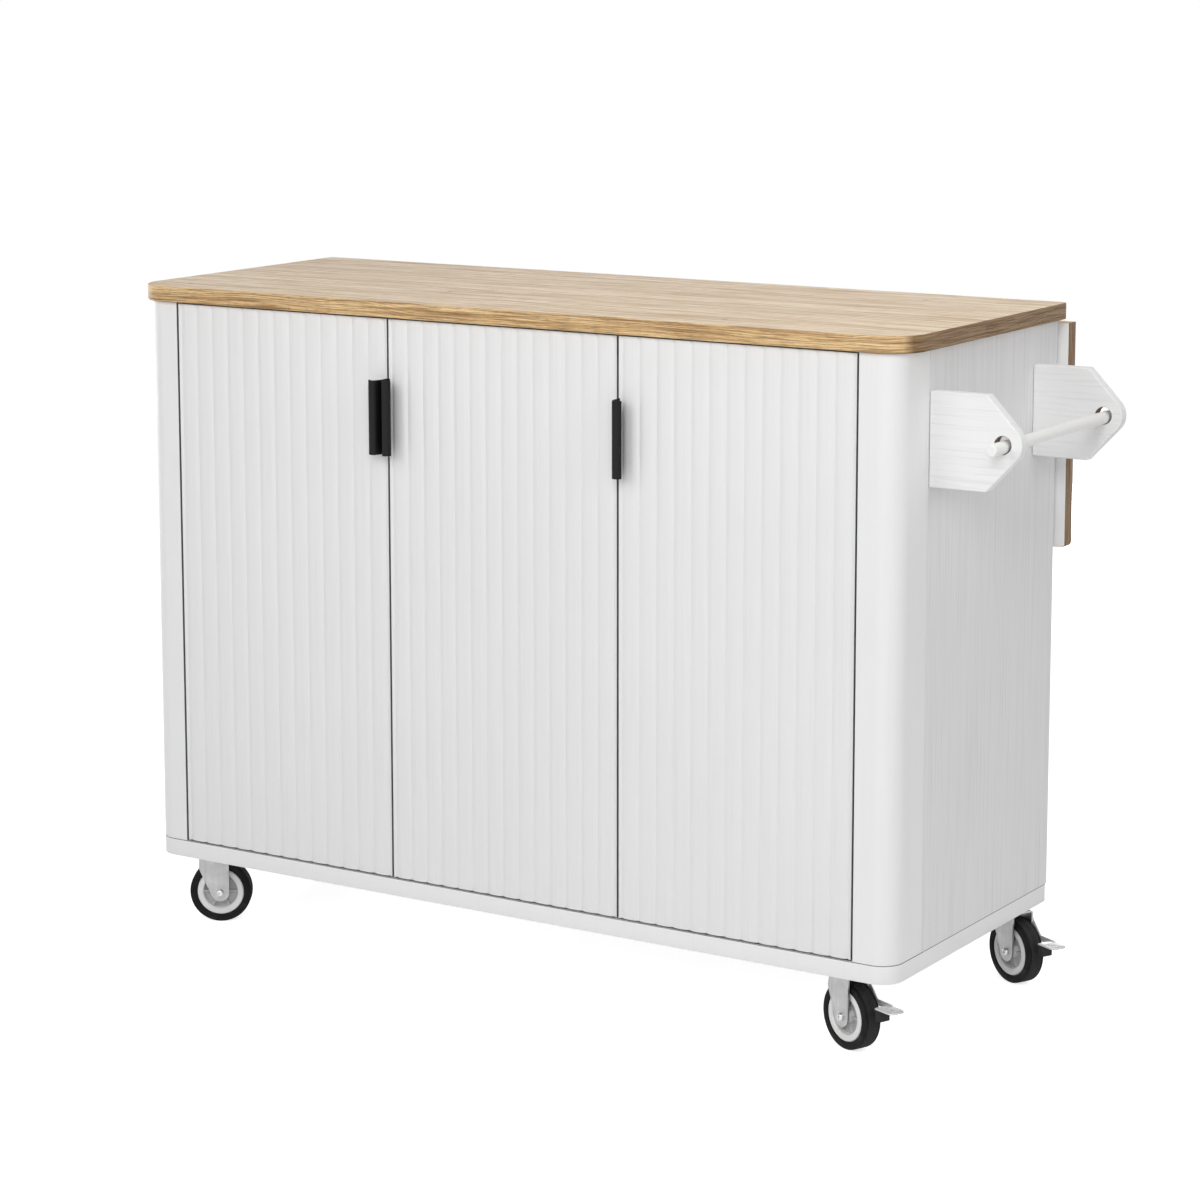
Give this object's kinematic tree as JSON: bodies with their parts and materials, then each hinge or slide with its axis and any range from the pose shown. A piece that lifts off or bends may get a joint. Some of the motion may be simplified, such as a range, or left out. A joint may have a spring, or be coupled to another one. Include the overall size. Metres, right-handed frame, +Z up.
{
  "type": "drop leaf kitchen island",
  "caption": "Kitchen island on swivel casters with reeded cupboard doors, an oak worktop, a folding rear leaf and a towel rod on side plates.",
  "frame": {"origin": "on the floor under the wheels, in the middle of the overall length and depth", "axes": "+X to the right along the length, +Y from the doors to the drop leaf at the back, +Z up"},
  "size_m": [1.3094, 0.503, 0.918],
  "materials": {
    "white_board": "white laminated board with a fine vertical grain",
    "white_door": "satin white foil over a reeded board",
    "oak": "oiled light oak with grain along its length",
    "black_metal": "satin black powder coat",
    "plated_steel": "zinc plated pressed steel",
    "white_steel": "white powder coated steel",
    "tyre": "black rubber with a fine tread",
    "hub_plastic": "moulded light grey plastic",
    "white_rod": "white painted round rod"
  },
  "bodies": {
    "cabinet": {"worktop": "oak", "base_board": "white_board", "left_corner_post": "white_board", "right_corner_post": "white_board", "left_side_panel": "white_board", "right_side_panel": "white_board", "divider_panel": "white_board", "back_panel": "white_board", "top_front_rail": "white_board", "top_rear_rail": "white_board", "wide_shelf": "white_board", "narrow_shelf": "white_board", "front_towel_plate": "white_board", "rear_towel_plate": "white_board", "left_door_upper_hinge_arm": "plated_steel", "left_door_lower_hinge_arm": "plated_steel", "middle_door_upper_hinge_arm": "plated_steel", "middle_door_lower_hinge_arm": "plated_steel", "right_door_upper_hinge_arm": "plated_steel", "right_door_lower_hinge_arm": "plated_steel", "left_leaf_bracket_plate": "white_steel", "right_leaf_bracket_plate": "white_steel", "front_left_caster_plate": "plated_steel", "front_right_caster_plate": "plated_steel", "rear_right_caster_plate": "plated_steel", "rear_left_caster_plate": "plated_steel"},
    "left_door": {"left_door_panel": "white_door", "left_door_handle": "black_metal", "left_door_upper_hinge_cup": "plated_steel", "left_door_lower_hinge_cup": "plated_steel"},
    "middle_door": {"middle_door_panel": "white_door", "middle_door_handle": "black_metal", "middle_door_upper_hinge_cup": "plated_steel", "middle_door_lower_hinge_cup": "plated_steel"},
    "right_door": {"right_door_panel": "white_door", "right_door_handle": "black_metal", "right_door_upper_hinge_cup": "plated_steel", "right_door_lower_hinge_cup": "plated_steel"},
    "leaf": {"leaf_board": "oak", "left_leaf_bracket_arm": "white_steel", "right_leaf_bracket_arm": "white_steel"},
    "left_brace": {"left_leaf_bracket_brace": "white_steel"},
    "right_brace": {"right_leaf_bracket_brace": "white_steel"},
    "towel_rod": {"towel_rod": "white_rod"},
    "front_left_swivel": {"front_left_caster_fork": "plated_steel"},
    "front_left_wheel": {"front_left_caster_tyre": "tyre", "front_left_caster_hub": "hub_plastic"},
    "front_right_swivel": {"front_right_caster_fork": "plated_steel"},
    "front_right_wheel": {"front_right_caster_tyre": "tyre", "front_right_caster_hub": "hub_plastic"},
    "front_right_brake": {"front_right_caster_brake_pedal": "plated_steel"},
    "rear_right_swivel": {"rear_right_caster_fork": "plated_steel"},
    "rear_right_wheel": {"rear_right_caster_tyre": "tyre", "rear_right_caster_hub": "hub_plastic"},
    "rear_right_brake": {"rear_right_caster_brake_pedal": "plated_steel"},
    "rear_left_swivel": {"rear_left_caster_fork": "plated_steel"},
    "rear_left_wheel": {"rear_left_caster_tyre": "tyre", "rear_left_caster_hub": "hub_plastic"}
  },
  "joints": [
    {"name": "left_door_hinge", "type": "hinge", "parent": "cabinet", "child": "left_door", "pos_m": [-0.56525, -0.2175, 0.5], "axis": [0, 0, -1], "range_deg": [0, 98]},
    {"name": "middle_door_hinge", "type": "hinge", "parent": "cabinet", "child": "middle_door", "pos_m": [0.113, -0.2175, 0.5], "axis": [0, 0, 1], "range_deg": [0, 98]},
    {"name": "right_door_hinge", "type": "hinge", "parent": "cabinet", "child": "right_door", "pos_m": [0.45575, -0.2175, 0.5], "axis": [0, 0, 1], "range_deg": [0, 98]},
    {"name": "leaf_hinge", "type": "hinge", "parent": "cabinet", "child": "leaf", "pos_m": [-0.05475, 0.225, 0.8915], "axis": [1, 0, 0], "range_deg": [0, 90]},
    {"name": "left_brace_hinge", "type": "hinge", "parent": "cabinet", "child": "left_brace", "pos_m": [-0.43475, 0.2145, 0.8015], "axis": [1, 0, 0], "range_deg": [0, 125]},
    {"name": "right_brace_hinge", "type": "hinge", "parent": "cabinet", "child": "right_brace", "pos_m": [0.32525, 0.2145, 0.8015], "axis": [1, 0, 0], "range_deg": [0, 125]},
    {"name": "towel_rod_slide", "type": "slide", "parent": "cabinet", "child": "towel_rod", "axis": [0, 1, 0], "range_m": [-0.03, 0.03]},
    {"name": "front_left_swivel_turn", "type": "hinge", "parent": "cabinet", "child": "front_left_swivel", "pos_m": [-0.59275, -0.1695, 0.098], "axis": [0, 0, 1], "continuous": true},
    {"name": "front_left_wheel_turn", "type": "hinge", "parent": "front_left_swivel", "child": "front_left_wheel", "pos_m": [-0.57732, -0.16023, 0.044], "axis": [-0.515, 0.8572, 0], "continuous": true},
    {"name": "front_right_swivel_turn", "type": "hinge", "parent": "cabinet", "child": "front_right_swivel", "pos_m": [0.43225, -0.1685, 0.098], "axis": [0, 0, 1], "continuous": true},
    {"name": "front_right_wheel_turn", "type": "hinge", "parent": "front_right_swivel", "child": "front_right_wheel", "pos_m": [0.44882, -0.17553, 0.044], "axis": [0.3907, 0.9205, 0], "continuous": true},
    {"name": "front_right_brake_press", "type": "hinge", "parent": "front_right_swivel", "child": "front_right_brake", "pos_m": [0.45434, -0.17788, 0.0844], "axis": [0.3907, 0.9205, 0], "range_deg": [0, 9]},
    {"name": "rear_right_swivel_turn", "type": "hinge", "parent": "cabinet", "child": "rear_right_swivel", "pos_m": [0.49025, 0.1945, 0.098], "axis": [0, 0, 1], "continuous": true},
    {"name": "rear_right_wheel_turn", "type": "hinge", "parent": "rear_right_swivel", "child": "rear_right_wheel", "pos_m": [0.50643, 0.18661, 0.044], "axis": [0.4384, 0.8988, 0], "continuous": true},
    {"name": "rear_right_brake_press", "type": "hinge", "parent": "rear_right_swivel", "child": "rear_right_brake", "pos_m": [0.51182, 0.18398, 0.0844], "axis": [0.4384, 0.8988, 0], "range_deg": [0, 9]},
    {"name": "rear_left_swivel_turn", "type": "hinge", "parent": "cabinet", "child": "rear_left_swivel", "pos_m": [-0.59975, 0.1945, 0.098], "axis": [0, 0, 1], "continuous": true},
    {"name": "rear_left_wheel_turn", "type": "hinge", "parent": "rear_left_swivel", "child": "rear_left_wheel", "pos_m": [-0.58284, 0.20066, 0.044], "axis": [-0.342, 0.9397, 0], "continuous": true}
  ],
  "couplings": [
    {"joint": "left_brace_hinge", "follows": "leaf_hinge", "ratio": 1.3845},
    {"joint": "right_brace_hinge", "follows": "leaf_hinge", "ratio": 1.3845}
  ]
}
